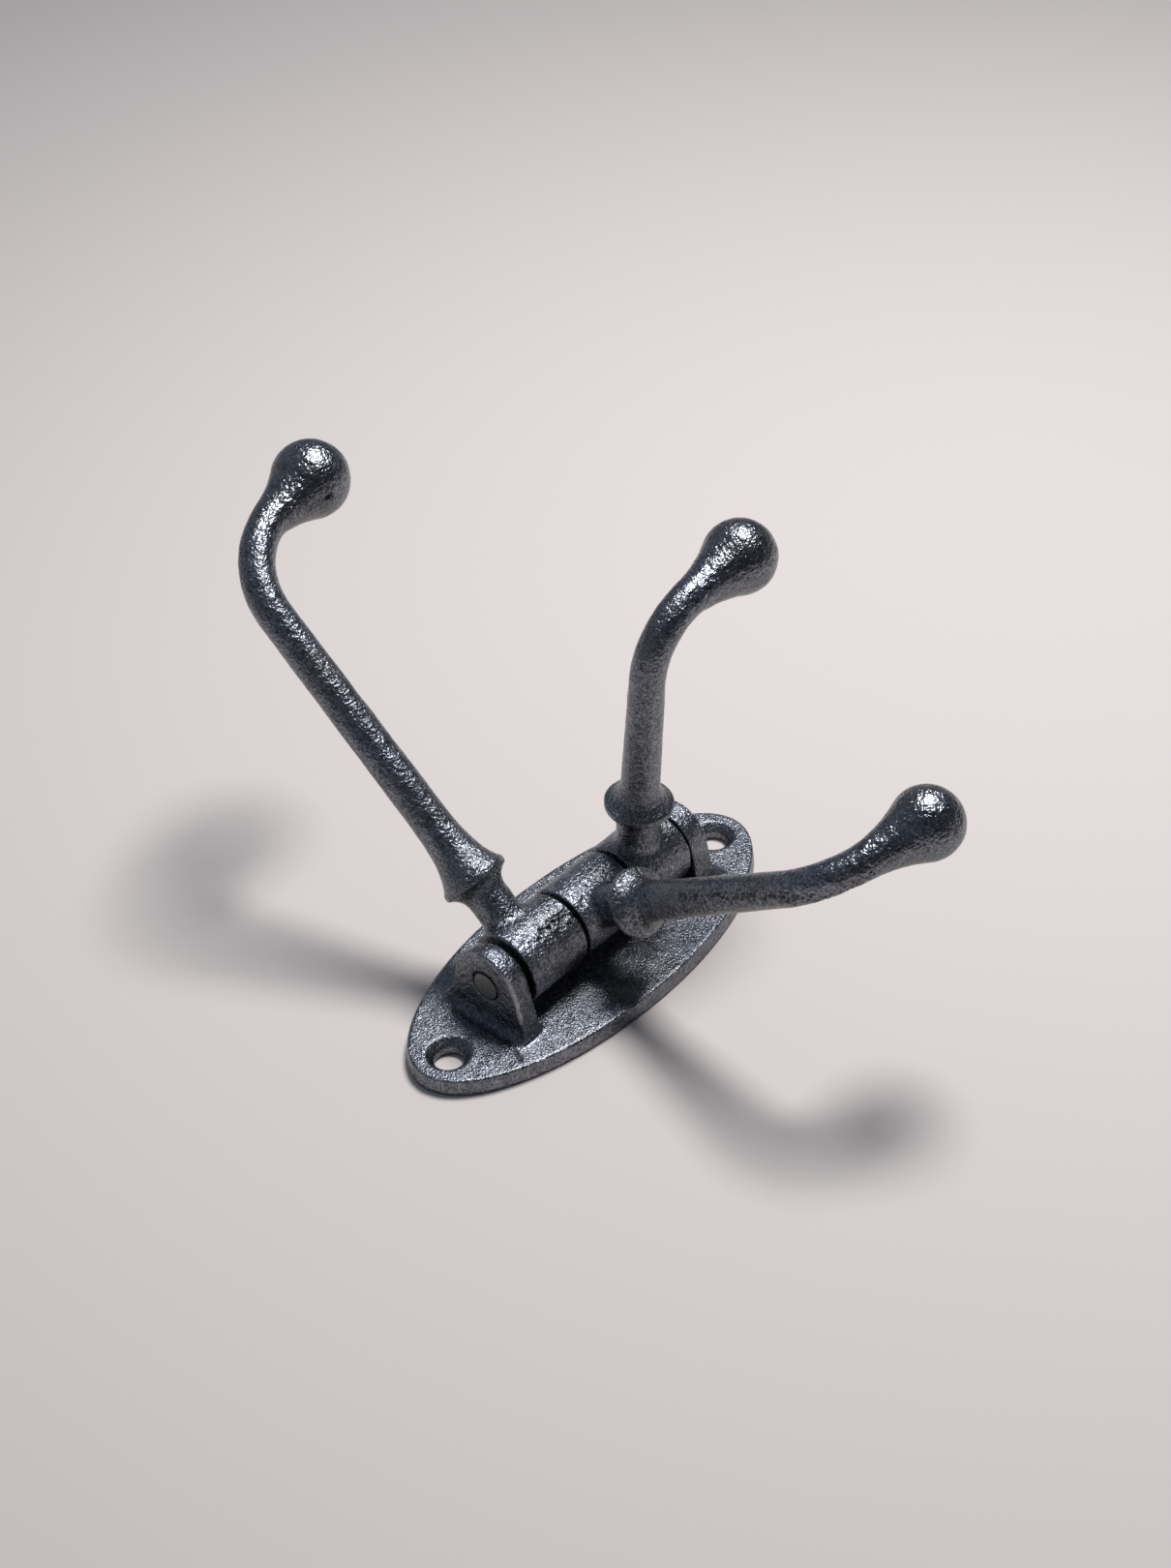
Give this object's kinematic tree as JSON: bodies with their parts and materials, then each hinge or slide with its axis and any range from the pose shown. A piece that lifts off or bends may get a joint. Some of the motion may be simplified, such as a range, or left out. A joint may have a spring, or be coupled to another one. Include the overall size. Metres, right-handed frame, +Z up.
{
  "type": "swivel wall hook",
  "caption": "Cast wall hook: an oval plate with ears holds a pin, and ball-ended arms of unequal length swing on it side by side.",
  "frame": {"origin": "centre of the plate's back face, on the wall", "axes": "+Z up the wall along the pin, +Y into the wall, +X to the right seen from the front; the arms stand out towards -Y"},
  "size_m": [0.1676, 0.0917, 0.1032],
  "materials": {
    "waxed_cast_iron": "sand-cast, tumbled and waxed, dark pewter grey",
    "pin_steel": "plain steel, ends ground flush and waxed dark"
  },
  "bodies": {
    "backplate": {"backplate": "waxed_cast_iron", "pivot_pin": "pin_steel"},
    "lower_arm": {"lower_arm": "waxed_cast_iron"},
    "middle_arm": {"middle_arm": "waxed_cast_iron"},
    "upper_arm": {"upper_arm": "waxed_cast_iron"}
  },
  "joints": [
    {"name": "lower_swing", "type": "hinge", "parent": "backplate", "child": "lower_arm", "pos_m": [0, -0.0133, 0], "axis": [0, 0, 1], "range_deg": [-40.6, 139.4]},
    {"name": "middle_swing", "type": "hinge", "parent": "backplate", "child": "middle_arm", "pos_m": [0, -0.0133, 0], "axis": [0, 0, 1], "range_deg": [-147.1, 32.9]},
    {"name": "upper_swing", "type": "hinge", "parent": "backplate", "child": "upper_arm", "pos_m": [0, -0.0133, 0], "axis": [0, 0, 1], "range_deg": [-95.9, 84.1]}
  ]
}
